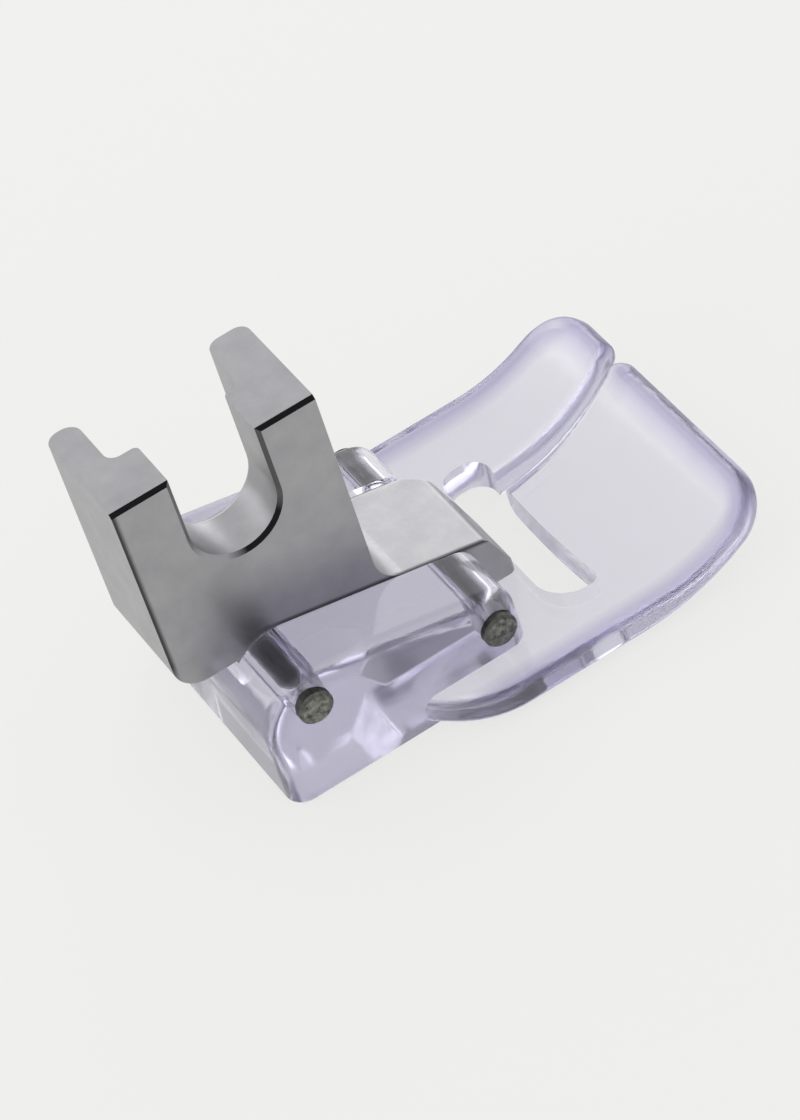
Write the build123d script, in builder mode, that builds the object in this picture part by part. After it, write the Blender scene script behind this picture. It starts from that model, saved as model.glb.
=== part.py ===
"""Low-shank sewing machine presser foot: a clear moulded sole pinned to a metal shank.

X points to the toes, Y to the side where the presser bar stands, Z up. The origin lies on the underside
of the sole, on the centre line, straight below the clamp slot. Millimetres.
"""

import os
from math import atan2, cos

from build123d import *

# Sole plate
sole_rear = -3.3
sole_front = 23.2
heel_half_width = 7.3
wing_half_width = 9.6
wing_start = 4.2            # where the plate starts to widen
wing_run = 2.3              # length of the slanting shoulder
shoulder_radius = 0.4
wing_corner_radius = 5.0
plate_thickness = 1.7
toe_curl_start = 14.9       # the underside is flat up to here
toe_top_curl_start = 16.0
toe_rise = 3.3              # underside of the toe ends above the flat
toe_thickness = 1.5
near_toe_radius = 2.5
far_toe_radius = 2.9
toe_inner_radius = 0.8
rim_radius = 0.6

# Needle slot and the thread slit that leads to it between the toes
needle_slot_rear = 12.15
needle_slot_front = 14.75
needle_slot_near = -6.4
needle_slot_far = 5.0
needle_slot_bow = 0.3       # the front wall bows towards the heel
needle_slot_radius = 1.1
needle_slot_near_radius = 1.9
needle_slot_tip_radius = 0.5
slit_root_width = 0.9
slit_tip_width = 0.5
slit_root_y = 2.75
slit_tip_y = 3.95

# Cross pins
pin_diameter = 1.8
pin_proud = 0.45            # how far the ends stand out of the rails
pin_chamfer = 0.15
pin_hole_clearance = 0.02
rear_pin_x = -0.8
rear_pin_z = 5.4
front_pin_x = 8.8
front_pin_z = 3.4

# Rails on both sides of the shank
rail_cover = 1.6            # from the line through the pins up to the rail tops
rail_front_reach = 1.4      # from the front pin to the front ends of the rails
rail_rear_radius = 3.0      # the heel rounds over behind the rear pin
rail_front_radius = 1.35
rail_edge_radius = 1.0
bed_clearance = 0.05        # play between the shank and its bed

# Shank block
shank_length = 10.8
shank_thickness = 6.75
shank_near = -3.15          # near face
shank_top = 18.0
overhang_bottom = 6.2       # underside of the block behind the heel
overhang_radius = 1.5
clamp_slot_width = 4.6
clamp_slot_height = 14.3    # axis of the clamp screw above the sole
bar_channel_width = 7.0
bar_channel_x = -0.25       # middle of the channel
bar_channel_floor = 3.2     # metal left between the near face and the channel
bar_channel_bottom = 8.6
bar_channel_radius = 0.6
bar_channel_lip_radius = 0.3  # where the clamp slot opens into the channel
prong_tip_radius = 0.8
prong_tip_share = 0.45      # most of a prong's width that one rounded corner takes
far_edge_radius = 0.6       # along the far front edge, from the prong's top to the tongue's nose
shank_edge = 0.2

# Tongue of the shank between the rails
tongue_front = 12.0
tongue_nose_run = 1.0
tongue_nose_height = 0.6    # upright part of the nose
tongue_nose_radius = 0.5
tongue_root_radius = 1.6
tongue_far_radius = 4.0
tongue_near_radius = 0.4
pin_boss = 1.5              # radius of the metal round the rear pin
bed_step_x = 1.9            # behind this the bed is higher
bed_step_run = 1.5
bed_step_radius = 0.4

# Values that follow from those above
pin_slope = (front_pin_z - rear_pin_z) / (front_pin_x - rear_pin_x)
rail_lift = rail_cover / cos(atan2(front_pin_z - rear_pin_z, front_pin_x - rear_pin_x))
rail_front = front_pin_x + rail_front_reach
bed_half_width = shank_thickness / 2 + bed_clearance
boss_rear = rear_pin_x - pin_boss
boss_bottom = rear_pin_z - pin_boss
prong_wall = (shank_length - bar_channel_width) / 2 - abs(bar_channel_x)
tip_radius = min(prong_tip_radius, prong_tip_share * prong_wall)
shank_middle = shank_near + shank_thickness / 2
shank_rear = -shank_length / 2
shank_front = shank_length / 2
pin_half_length = heel_half_width + pin_proud
pin_places = [(rear_pin_x, rear_pin_z), (front_pin_x, front_pin_z)]
pin_hole_radius = pin_diameter / 2 + pin_hole_clearance
over_toes = 2 * toe_rise    # clears the toe ends
shank_plane = Plane.XZ.offset(-shank_middle)


def rail_top(x):
    """Height of the sloping rail tops, parallel to the line through the pins."""
    return rear_pin_z + rail_lift + pin_slope * (x - rear_pin_x)


def slit_edge(x, side):
    """Wall of the thread slit, which runs slantwise from the needle slot and narrows to the toe ends."""
    share = (x - needle_slot_front) / (sole_front - needle_slot_front)
    middle = slit_root_y + share * (slit_tip_y - slit_root_y)
    width = slit_root_width + share * (slit_tip_width - slit_root_width)
    return middle + side * width / 2


os.makedirs("parts", exist_ok=True)

# Plate of the sole: its side view with the curled toes, slit in two, then trimmed to its plan
with BuildPart() as plate:
    with BuildSketch(Plane.XZ):
        with BuildLine():
            underside = Line((sole_rear, 0), (toe_curl_start, 0))
            toe_under = TangentArc(underside @ 1, (sole_front, toe_rise), tangent=(1, 0))
            toe_end = PolarLine(toe_under @ 1, toe_thickness, direction=(toe_under % 1).rotate(Axis.Z, 90))
            flat_end = (toe_top_curl_start, plate_thickness)
            TangentArc(flat_end, toe_end @ 1, tangent=(1, 0))
            Polyline(flat_end, (sole_rear, plate_thickness), underside @ 0)
        make_face()
    extrude(amount=wing_half_width, both=True)

    with BuildSketch():
        with BuildLine():
            slit_start = (needle_slot_rear + needle_slot_front) / 2
            slit_end = sole_front + slit_tip_width
            Polyline(
                (slit_start, slit_edge(slit_start, -1)),
                (slit_end, slit_edge(slit_end, -1)),
                (slit_end, slit_edge(slit_end, 1)),
                (slit_start, slit_edge(slit_start, 1)),
                close=True,
            )
        make_face()
    extrude(amount=over_toes, mode=Mode.SUBTRACT)

    toe_corners = plate.faces().sort_by(Axis.X)[-2:].edges().filter_by(Axis.Y, reverse=True).sort_by(Axis.Y)
    fillet(toe_corners[0], near_toe_radius)
    toe_corners = plate.faces().filter_by(GeomType.PLANE).sort_by(Axis.X)[-2:].edges()
    fillet(toe_corners.filter_by(Axis.Y, reverse=True).sort_by(Axis.Y)[-1], far_toe_radius)
    toe_corners = plate.faces().filter_by(GeomType.PLANE).sort_by(Axis.X)[-2:].edges()
    fillet(toe_corners.filter_by(Axis.Y, reverse=True).sort_by(Axis.Y)[1:-1], toe_inner_radius)

    with BuildSketch() as plan:
        with BuildLine():
            plan_rear = wing_start - wing_run  # inside the block of the rails, which closes the heel
            plan_front = sole_front + toe_thickness
            Polyline(
                (plan_rear, 0),
                (plan_rear, heel_half_width),
                (wing_start, heel_half_width),
                (wing_start + wing_run, wing_half_width),
                (plan_front, wing_half_width),
                (plan_front, 0),
            )
            mirror(about=Plane.XZ)
        make_face()
        shoulders = plan.vertices().filter_by(lambda point: abs(point.X - wing_start) < wing_run / 2)
        fillet(shoulders, shoulder_radius)
        wing_end = wing_start + wing_run
        wing_corners = plan.vertices().filter_by(lambda point: abs(point.X - wing_end) < wing_run / 2)
        fillet(wing_corners, wing_corner_radius)
    extrude(amount=over_toes, mode=Mode.INTERSECT)

    skins = plate.faces().sort_by(SortBy.AREA)[-6:]  # the flat and both toes, above and below
    skin_edges = [edge for face in skins for edge in face.edges()]
    rims = [edge for edge in skin_edges if skin_edges.count(edge) == 1]
    fillet([edge for edge in rims if edge.center().X > wing_start], rim_radius)

    with BuildSketch() as needle_slot:
        with BuildLine():
            near_front = (needle_slot_front, needle_slot_near)
            far_front = (needle_slot_front, needle_slot_far)
            bow = (needle_slot_front - needle_slot_bow, (needle_slot_near + needle_slot_far) / 2)
            ThreePointArc(near_front, bow, far_front)
            Polyline(
                far_front,
                (needle_slot_rear, needle_slot_far),
                (needle_slot_rear, needle_slot_near),
                near_front,
            )
        make_face()
        fillet(needle_slot.vertices().group_by(Axis.Y)[-1], needle_slot_radius)
        near_corners = needle_slot.vertices().group_by(Axis.Y)[0].sort_by(Axis.X)
        fillet(near_corners[0], needle_slot_near_radius)
        near_corners = needle_slot.vertices().group_by(Axis.Y)[0].sort_by(Axis.X)
        fillet(near_corners[-1], needle_slot_tip_radius)
    extrude(amount=plate_thickness, mode=Mode.SUBTRACT)

# Clear sole: the rails on the plate, with the bed for the shank cut between them
with BuildPart() as clear_sole:
    with BuildSketch(Plane.XZ):
        with BuildLine():
            FilletPolyline(
                (sole_rear, 0),
                (sole_rear, rail_top(sole_rear)),
                (rail_front, rail_top(rail_front)),
                (rail_front, 0),
                radius=[rail_rear_radius, rail_front_radius],
            )
            Line((rail_front, 0), (sole_rear, 0))
        make_face()
    extrude(amount=heel_half_width, both=True)
    rail_sides = clear_sole.faces().filter_by(Axis.Y).edges()
    above_plate = plate_thickness + rail_edge_radius
    fillet(rail_sides.filter_by(lambda edge: edge.center().Z > above_plate), rail_edge_radius)

    add(plate.part)

    with BuildSketch(shank_plane):
        with BuildLine():
            clear_rear = sole_rear - bed_clearance
            clear_top = rail_top(clear_rear)
            FilletPolyline(
                (clear_rear, clear_top),
                (clear_rear, overhang_bottom - bed_clearance),
                (boss_rear - bed_clearance, overhang_bottom - bed_clearance),
                (boss_rear - bed_clearance, boss_bottom - bed_clearance),
                (bed_step_x - bed_clearance, boss_bottom - bed_clearance),
                (bed_step_x + bed_step_run - bed_clearance, plate_thickness),
                (rail_front, plate_thickness),
                (rail_front, clear_top),
                radius=[0, 0, 0, pin_boss + bed_clearance, bed_step_radius, bed_step_radius, 0, 0],
                close=True,
            )
        make_face()
    extrude(amount=bed_half_width, both=True, mode=Mode.SUBTRACT)

    with BuildSketch(Plane.XZ):
        with Locations(*pin_places):
            Circle(pin_hole_radius)
    extrude(amount=heel_half_width, both=True, mode=Mode.SUBTRACT)

# Shank: the side view of block and tongue, kept inside its plan, then slot, channel and pin holes
with BuildPart() as shank:
    with BuildSketch(shank_plane):
        with BuildLine():
            tongue_bottom = plate_thickness + bed_clearance
            FilletPolyline(
                (shank_rear, shank_top),
                (shank_rear, overhang_bottom),
                (boss_rear, overhang_bottom),
                (boss_rear, boss_bottom),
                (bed_step_x, boss_bottom),
                (bed_step_x + bed_step_run, tongue_bottom),
                (tongue_front, tongue_bottom),
                (tongue_front, tongue_bottom + tongue_nose_height),
                (tongue_front - tongue_nose_run, rail_top(tongue_front - tongue_nose_run)),
                (shank_front, rail_top(shank_front)),
                (shank_front, shank_top),
                radius=[
                    0,
                    overhang_radius,
                    0,
                    pin_boss,
                    bed_step_radius,
                    bed_step_radius,
                    0,
                    tongue_nose_radius,
                    tongue_nose_radius,
                    tongue_root_radius,
                    0,
                ],
                close=True,
            )
        make_face()
    extrude(amount=shank_thickness / 2, both=True)
    far_uprights = shank.faces().sort_by(Axis.Y)[-1].edges().filter_by(Axis.Z)
    fillet(far_uprights.sort_by(Axis.X)[-2], far_edge_radius)

    with BuildSketch() as shank_plan:
        with Locations((shank_rear, shank_middle)):
            Rectangle(tongue_front - shank_rear, shank_thickness, align=(Align.MIN, Align.CENTER))
        near_corner = shank_plan.vertices().group_by(Axis.X)[-1].sort_by(Axis.Y)[0]
        fillet(near_corner, tongue_near_radius)
        far_corner = shank_plan.vertices().group_by(Axis.X)[-1].sort_by(Axis.Y)[-1]
        fillet(far_corner, tongue_far_radius)
        rear_corner = shank_plan.vertices().group_by(Axis.X)[0].sort_by(Axis.Y)[-1]
        fillet(rear_corner, tip_radius)
    extrude(amount=shank_top, mode=Mode.INTERSECT)

    with BuildSketch(Plane.XZ):
        with Locations((0, clamp_slot_height)):
            Circle(clamp_slot_width / 2)
            Rectangle(clamp_slot_width, shank_top, align=(Align.CENTER, Align.MIN))
    extrude(amount=shank_thickness, both=True, mode=Mode.SUBTRACT)

    with BuildSketch(Plane.XY.offset(bar_channel_bottom)) as bar_channel:
        with Locations((bar_channel_x, shank_near + bar_channel_floor)):
            Rectangle(bar_channel_width, shank_thickness, align=(Align.CENTER, Align.MIN))
        fillet(bar_channel.vertices().group_by(Axis.Y)[0], bar_channel_radius)
    extrude(amount=shank_top, mode=Mode.SUBTRACT)

    prong_edges = shank.edges().filter_by(Axis.Z).group_by(Axis.Y)[-1]
    prong_edges = prong_edges.filter_by(lambda edge: edge.center().Z > bar_channel_bottom)
    fillet(prong_edges.sort_by(lambda edge: abs(edge.center().X - bar_channel_x))[:2], tip_radius)

    channel_wall = shank.faces().filter_by(Axis.Y).filter_by(
        lambda face: abs(face.center().Y - shank_near - bar_channel_floor) < bar_channel_floor / 2
    )
    lip_reach = (clamp_slot_width + bar_channel_lip_radius) / 2
    lip_edges = channel_wall.edges().filter_by(Axis.X, reverse=True)
    fillet(lip_edges.filter_by(lambda edge: abs(edge.center().X) < lip_reach), bar_channel_lip_radius)

    near_edges = shank.faces().sort_by(Axis.Y)[0].edges()
    slot_bottom = clamp_slot_height - clamp_slot_width / 2
    inner_edges = near_edges.filter_by(lambda edge: abs(edge.center().X) < shank_front - shank_edge)
    chamfer(inner_edges.filter_by(lambda edge: edge.center().Z > slot_bottom - shank_edge), shank_edge)

    with BuildSketch(Plane.XZ):
        with Locations(*pin_places):
            Circle(pin_hole_radius)
    extrude(amount=shank_thickness, both=True, mode=Mode.SUBTRACT)

# Cross pins: two alike, pressed through rail, shank and rail
with BuildPart() as cross_pins:
    with BuildSketch(Plane.XZ):
        with Locations(*pin_places):
            Circle(pin_diameter / 2)
    extrude(amount=pin_half_length, both=True)
    chamfer(cross_pins.edges().filter_by(GeomType.CIRCLE), pin_chamfer)

clear_sole.part.label = "clear_sole"
export_step(clear_sole.part, "parts/clear_sole.step")

shank.part.label = "shank"
export_step(shank.part, "parts/shank.step")

cross_pins.part.label = "cross_pins"
export_step(cross_pins.part, "parts/cross_pins.step")
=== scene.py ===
"""Looks of the low-shank presser foot: clear moulded sole, satin metal shank, dark steel pins."""

from math import radians

import bpy
from mathutils import Matrix, Vector

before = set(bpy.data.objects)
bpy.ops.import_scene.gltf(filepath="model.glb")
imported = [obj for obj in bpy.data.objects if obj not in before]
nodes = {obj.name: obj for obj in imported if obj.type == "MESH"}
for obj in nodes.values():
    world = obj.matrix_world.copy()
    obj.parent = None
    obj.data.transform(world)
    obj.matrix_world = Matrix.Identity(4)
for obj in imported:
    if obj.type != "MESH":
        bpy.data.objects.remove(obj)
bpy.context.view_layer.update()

# Forms of the part that its colours follow, millimetres
plate_front = 22.9        # toe ends
plate_half_width = 9.6
plate_corner = 2.7        # radius of the toe corners
rail_height = 6.868       # line of the rail tops above the origin
rail_slope = -0.2083
noise_range = (0.3, 0.7)  # holds most values of a noise


def srgb(*levels):
    """Linear colour from 8-bit display levels."""
    shares = [level / 255 for level in levels]
    linear = [s / 12.92 if s <= 0.04045 else ((s + 0.055) / 1.055) ** 2.4 for s in shares]
    return (*linear, 1.0)


class Shader:
    """A material's node tree with short calls for adding and joining nodes."""

    def __init__(self, name):
        self.material = bpy.data.materials.new(name)
        self.material.use_nodes = True
        self.tree = self.material.node_tree
        self.surface = self.tree.nodes["Principled BSDF"]
        self.output = self.tree.nodes["Material Output"]

    def add(self, kind, **settings):
        node = self.tree.nodes.new(kind)
        for key, value in settings.items():
            if key in node.inputs:
                node.inputs[key].default_value = value
            else:
                setattr(node, key, value)
        return node

    def join(self, source, target):
        self.tree.links.new(source, target)

    def feed(self, socket, value):
        """Sets a socket to a plain number or colour, or joins another node's output to it."""
        if isinstance(value, bpy.types.NodeSocket):
            self.join(value, socket)
        else:
            socket.default_value = value

    def cover(self, **values):
        """Feeds the surface's sockets, named with underscores for spaces."""
        for name, value in values.items():
            self.feed(self.surface.inputs[name.replace("_", " ")], value)

    def place(self, stretch=(1, 1, 1)):
        """Object coordinates in millimetres, stretched along the axes."""
        coordinates = self.add("ShaderNodeTexCoord")
        mapping = self.add("ShaderNodeMapping", Scale=[1000 * share for share in stretch])
        self.join(coordinates.outputs["Object"], mapping.inputs["Vector"])
        return mapping.outputs["Vector"]

    def axes(self, vector):
        """The three parts of a vector."""
        node = self.add("ShaderNodeSeparateXYZ")
        self.join(vector, node.inputs["Vector"])
        return node.outputs["X"], node.outputs["Y"], node.outputs["Z"]

    def facing(self):
        """The three parts of the way that the surface faces."""
        return self.axes(self.add("ShaderNodeTexCoord").outputs["Normal"])

    def noise(self, place, scale, detail, roughness=0.5):
        node = self.add("ShaderNodeTexNoise", Scale=scale, Detail=detail, Roughness=roughness)
        self.join(place, node.inputs["Vector"])
        return node.outputs["Fac"]

    def ramp(self, value, start, end, low=0.0, high=1.0):
        """Takes a value from start..end to low..high and holds it there outside."""
        node = self.add("ShaderNodeMapRange")
        for name, number in zip(("From Min", "From Max", "To Min", "To Max"), (start, end, low, high)):
            node.inputs[name].default_value = number
        self.join(value, node.inputs["Value"])
        return node.outputs["Result"]

    def math(self, operation, *values):
        node = self.add("ShaderNodeMath", operation=operation)
        for socket, value in zip(node.inputs, values):
            self.feed(socket, value)
        return node.outputs["Value"]

    def fold(self, operation, first, *others):
        """One operation, such as a product or a maximum, over any number of values."""
        for other in others:
            first = self.math(operation, first, other)
        return first

    def blend(self, share, one, other):
        """From one colour to the other."""
        node = self.add("ShaderNodeMix", data_type="RGBA")
        self.join(share, node.inputs["Factor"])
        colour_sockets = node.inputs[6:8]
        for socket, colour in zip(colour_sockets, (one, other)):
            self.feed(socket, colour)
        return node.outputs[2]

    def tint(self, value, span, dark, light):
        """Colour of a noise, from dark at the start of the span to light at its end."""
        node = self.add("ShaderNodeValToRGB")
        for element, place, colour in zip(node.color_ramp.elements, span, (dark, light)):
            element.position = place
            element.color = colour
        self.join(value, node.inputs["Fac"])
        return node.outputs["Color"]

    def bump(self, height, depth, strength):
        node = self.add("ShaderNodeBump", Strength=strength, Distance=depth)
        self.join(height, node.inputs["Height"])
        return node.outputs["Normal"]


def clear_plastic():
    """Clear moulded plastic with a faint violet tint, painted shade in a darker violet on its rim and rail
    tops, and painted light on its heel's rear face.
    """
    clear_tint = (0.92, 0.915, 0.98, 1)
    # painted shade: a darker violet on the rim, standing in for the longer path of light through the rounded
    # edge
    rim_painted_shade = (0.42, 0.39, 0.64, 1)
    rim_start, rim_full = 1.3, 0.3  # millimetres inside the plate's outline
    upright_share = 0.2             # of the rim's painted shade on upright faces
    upright, level = 0.2, 0.7       # how far such faces look up or down
    # painted shade: darker rail tops, standing in for the shaded floor seen through the plastic
    rail_painted_shade = (0.54, 0.53, 0.64, 1)
    rail_foot = (2.4, 3.2)          # millimetres up, over the plate
    rail_end = (11, 10.3)           # millimetres along
    rail_facing = (0.8, 0.95)       # upwards, of the rail tops
    # painted light: the heel's rear face is left untinted, so it looks lighter
    heel_painted_light = (1, 1, 1, 1)
    heel_facing = (-0.7, -0.9)      # along X, of the heel's rear face
    gloss = (0.06, 0.13)
    flow_depth = 0.00003            # metres
    body_tint, body_density = (0.79, 0.772, 0.855, 1), 115.0

    shader = Shader("clear_plastic")
    along, across, up = shader.axes(shader.place())
    past_front = shader.math("SUBTRACT", along, plate_front - plate_corner)
    past_side = shader.math("SUBTRACT", shader.math("ABSOLUTE", across), plate_half_width - plate_corner)
    squares = []
    for past in (past_front, past_side):
        past = shader.math("MAXIMUM", past, 0)
        squares.append(shader.math("MULTIPLY", past, past))
    reach = shader.math("SQRT", shader.math("ADD", *squares))
    facing_x, _, facing_up = shader.facing()
    # mask of the painted rim shade, fading inward from the plate's outline
    rim_shade_mask = shader.fold(
        "MULTIPLY",
        shader.ramp(reach, plate_corner - rim_start, plate_corner - rim_full),
        shader.ramp(shader.math("ABSOLUTE", facing_up), upright, level, upright_share),
    )
    # mask of the painted shade on the rail tops
    rail_shade_mask = shader.fold(
        "MULTIPLY",
        shader.ramp(up, *rail_foot),
        shader.ramp(facing_up, *rail_facing),
        shader.ramp(along, *rail_end),
    )
    # mask of the painted light on the heel's rear face
    heel_light_mask = shader.ramp(facing_x, *heel_facing)
    # the plastic's own tint, with the painted shade of the rim and the rail tops
    tint = shader.blend(rail_shade_mask, shader.blend(rim_shade_mask, clear_tint, rim_painted_shade), rail_painted_shade)
    handling = shader.noise(shader.place(), scale=0.9, detail=5)
    flow = shader.noise(shader.place((0.5, 1, 1)), scale=0.45, detail=2)
    shader.cover(
        Base_Color=shader.blend(heel_light_mask, tint, heel_painted_light),
        Transmission_Weight=0.97,
        IOR=1.49,
        Roughness=shader.ramp(handling, *noise_range, *gloss),
        Normal=shader.bump(flow, flow_depth, strength=0.6),
    )
    body = shader.add("ShaderNodeVolumeAbsorption", Color=body_tint, Density=body_density)
    shader.join(body.outputs["Volume"], shader.output.inputs["Volume"])
    return shader.material


def satin_steel():
    """Plated steel, ground along its length and a little handled; dark along its near edges as a painted
    reflection, along its seams with the plastic as painted contact shadow, and lighter as painted light where
    it sits in the plastic.
    """
    plating_tones = srgb(164, 163, 166), srgb(177, 176, 178)
    # painted light: a lighter base colour on the faces that sit in the plastic's bed or rest on it
    seated_painted_light = srgb(206, 205, 208)
    # painted dark: reflection of dark surroundings on the near edges, and contact shadow at the seams
    painted_dark_tone = srgb(34, 34, 35)
    satin = (0.33, 0.43)
    grain_depth = 0.0000015         # metres
    near_facing = (-0.9, -0.95)     # along Y, of the near face
    edge_facing = (-0.4, -0.5)      # along Y, of the broken near edges
    edge_limit = (-0.95, -0.85)
    rear_wall = (0.3, 0.0)          # along X, of the slot's bright edge
    front_wall = (-0.69, -0.6)      # along X, of its fainter edge
    front_wall_share = 0.75
    block_foot = (6.5, 8)           # millimetres up, where the block's lines fade out
    rear_band = (-5.1, -5.3)        # millimetres along, up to the block's rear edge
    rear_share = 0.85
    shadow_band = (0.08, 0.26)        # millimetres from the line of the rail tops
    past_heel = (-1.2, 0.4)        # millimetres along, past the rounded heel
    brim_band = (-3.08, -2.92)      # millimetres across, on the tongue's near edge
    brim_start = (5.6, 6.4)         # millimetres along, in front of the block
    brim_facing = (0.8, 0.9)
    shadow_share = 0.8
    seated_band = (-0.15, -0.45)    # millimetres over the line of the rail tops
    seated_end = (9.2, 8.6)         # millimetres along, behind the tongue's nose
    under_facing = (-0.8, -0.95)    # upwards, of the faces that rest on the plastic

    shader = Shader("satin_steel")
    facing_x, facing_y, facing_up = shader.facing()
    along, across, up = shader.axes(shader.place())
    near_face = shader.ramp(facing_y, *near_facing)
    # painted dark reflection on the broken near edges that face left and to the near side
    broken_edges = shader.fold(
        "MULTIPLY",
        shader.ramp(facing_y, *edge_facing),
        shader.ramp(facing_y, *edge_limit),
        shader.ramp(facing_x, *rear_wall),
        shader.ramp(facing_x, *front_wall, front_wall_share),
    )
    # painted dark reflection along the near face's rear edge
    rear_edge = shader.math("MULTIPLY", near_face, shader.ramp(along, *rear_band, 0, rear_share))
    block_painted_reflection = shader.math(
        "MULTIPLY", shader.math("MAXIMUM", broken_edges, rear_edge), shader.ramp(up, *block_foot)
    )
    rail_line = shader.math("MULTIPLY_ADD", along, rail_slope, rail_height)
    over_rail = shader.math("SUBTRACT", up, rail_line)
    # mask of the painted light, below the rail tops and on faces resting on the plastic
    in_bed = shader.fold(
        "MULTIPLY",
        shader.ramp(over_rail, *seated_band),
        shader.ramp(along, *past_heel),
        shader.ramp(along, *seated_end),
    )
    seated_light_mask = shader.math("MAXIMUM", in_bed, shader.ramp(facing_up, *under_facing))
    off_rail = shader.math("ABSOLUTE", over_rail)
    # painted contact shadow on the near face just above the rail tops
    rail_contact_shadow = shader.fold(
        "MULTIPLY",
        shader.ramp(off_rail, *shadow_band, shadow_share, 0),
        near_face,
        shader.ramp(along, *past_heel),
    )
    # painted contact shadow along the tongue's near edge
    tongue_contact_shadow = shader.fold(
        "MULTIPLY",
        shader.ramp(across, *brim_band, shadow_share, 0),
        shader.ramp(facing_up, *brim_facing),
        shader.ramp(along, *brim_start),
    )
    # all the painted dark reflection and contact shadow
    painted_dark_lines = shader.fold("MAXIMUM", block_painted_reflection, rail_contact_shadow, tongue_contact_shadow)
    grain = shader.noise(shader.place((0.25, 1.2, 1.2)), scale=9, detail=3, roughness=0.6)
    cloud = shader.noise(shader.place(), scale=0.6, detail=5, roughness=0.6)
    # the plating's own tones, with painted light where it sits in the plastic
    plating_and_painted_light = shader.blend(seated_light_mask, shader.tint(cloud, noise_range, *plating_tones), seated_painted_light)
    shader.cover(
        Base_Color=shader.blend(painted_dark_lines, plating_and_painted_light, painted_dark_tone),
        Metallic=1.0,
        Roughness=shader.ramp(grain, *noise_range, *satin),
        Normal=shader.bump(grain, grain_depth, strength=0.5),
    )
    return shader.material


def pin_steel():
    """Dark plain steel: drawn shafts with rough cut ends; the shafts, seen through the plastic, are painted
    darker as painted shade.
    """
    end_tones = srgb(78, 78, 74), srgb(146, 146, 139)
    # painted shade: the shafts inside the plastic darker than the cut ends
    shaft_shade_tones = srgb(70, 70, 68), srgb(96, 96, 93)
    satin = (0.46, 0.32)
    pit_range = (0.35, 0.65)
    pit_depth = 0.00006     # metres
    end_facing = (0.6, 0.9)  # along Y, of the cut ends

    shader = Shader("pin_steel")
    _, facing_y, _ = shader.facing()
    cut_end = shader.ramp(shader.math("ABSOLUTE", facing_y), *end_facing)
    pits = shader.noise(shader.place(), scale=3.5, detail=5, roughness=0.65)
    drawing = shader.noise(shader.place((1, 0.15, 1)), scale=6, detail=3)
    end_tone = shader.tint(pits, pit_range, *end_tones)
    shaft_shade_tone = shader.tint(drawing, noise_range, *shaft_shade_tones)
    shader.cover(
        Base_Color=shader.blend(cut_end, shaft_shade_tone, end_tone),
        Metallic=1.0,
        Roughness=shader.ramp(pits, *noise_range, *satin),
        Normal=shader.bump(shader.math("MULTIPLY", pits, cut_end), pit_depth, strength=0.6),
    )
    return shader.material


def pale_floor():
    """Pale floor with a faint shadow: to the eye, in mirrors and through plastic mostly its own even tone."""
    even_share = 0.8
    shader = Shader("pale_floor")
    shader.cover(Base_Color=srgb(236, 236, 234), Roughness=0.9, Specular_IOR_Level=0.0)
    even_tone = shader.add("ShaderNodeEmission", Color=srgb(243, 243, 241), Strength=1.0)
    path = shader.add("ShaderNodeLightPath")
    rays = [path.outputs[f"Is {kind} Ray"] for kind in ("Camera", "Glossy", "Transmission")]
    mix = shader.add("ShaderNodeMixShader")
    shader.join(shader.math("MULTIPLY", shader.fold("MAXIMUM", *rays), even_share), mix.inputs["Fac"])
    shader.join(shader.surface.outputs["BSDF"], mix.inputs[1])
    shader.join(even_tone.outputs["Emission"], mix.inputs[2])
    shader.join(mix.outputs["Shader"], shader.output.inputs["Surface"])
    return shader.material


for name, material in [
    ("clear_sole", clear_plastic()),
    ("shank", satin_steel()),
    ("cross_pins", pin_steel()),
]:
    for slot in nodes[name].material_slots:
        slot.material = material

# Stage: floor, lamps, world and camera, metres
scene = bpy.context.scene
floor_half = 3.0
floor_drop = 0.0001
middle = Vector((0.006, -0.001, 0.007))  # of the part, where the lamps aim

quarters = [(-1, -1), (1, -1), (1, 1), (-1, 1)]
corners = [(x * floor_half, y * floor_half, -floor_drop) for x, y in quarters]
floor_mesh = bpy.data.meshes.new("floor")
floor_mesh.from_pydata(corners, [], [(0, 1, 2, 3)])
floor_mesh.materials.append(pale_floor())
piece = bpy.data.objects.new("floor", floor_mesh)
scene.collection.objects.link(piece)


def aimed(place, aim):
    """Matrix at place that looks along -Z to aim."""
    direction = aim - place
    return Matrix.LocRotScale(place, direction.to_track_quat("-Z", "Y"), None)


for name, direction, distance, width, height, watts in [
    ("far_softbox", (0.0, 0.94, 0.34), 0.3, 0.71, 0.17, 0.4),
    ("tongue_softbox", (0.58, 0.66, 0.48), 0.3, 0.12, 0.12, 0.038),
    ("left_softbox", (-0.9, -0.05, 0.45), 0.35, 0.2, 0.2, 0.16),
]:
    light = bpy.data.lights.new(name, "AREA")
    light.shape = "RECTANGLE"
    light.size = width
    light.size_y = height
    light.energy = watts
    lamp = bpy.data.objects.new(name, light)
    lamp.matrix_world = aimed(middle + Vector(direction).normalized() * distance, middle)
    scene.collection.objects.link(lamp)

world = bpy.data.worlds.new("studio")
world.use_nodes = True
sky = world.node_tree.nodes["Background"]
sky.inputs["Color"].default_value = srgb(240, 240, 242)
sky.inputs["Strength"].default_value = 0.85
scene.world = world

camera_place = Vector((-0.043076, -0.165058, 0.166129))
camera_aim = Vector((0.006607, -0.003349, 0.006551))
camera_roll = radians(19.22)
focal_pixels = 5000
image_height = 1120

camera = bpy.data.cameras.new("camera")
camera.lens = focal_pixels / image_height * camera.sensor_width
camera.clip_start = 0.01
camera.clip_end = 10
eye = bpy.data.objects.new("camera", camera)
eye.matrix_world = aimed(camera_place, camera_aim) @ Matrix.Rotation(-camera_roll, 4, "Z")
scene.collection.objects.link(eye)
scene.camera = eye
scene.view_settings.view_transform = "Standard"
scene.cycles.glossy_bounces = 12  # reflections inside the clear plastic
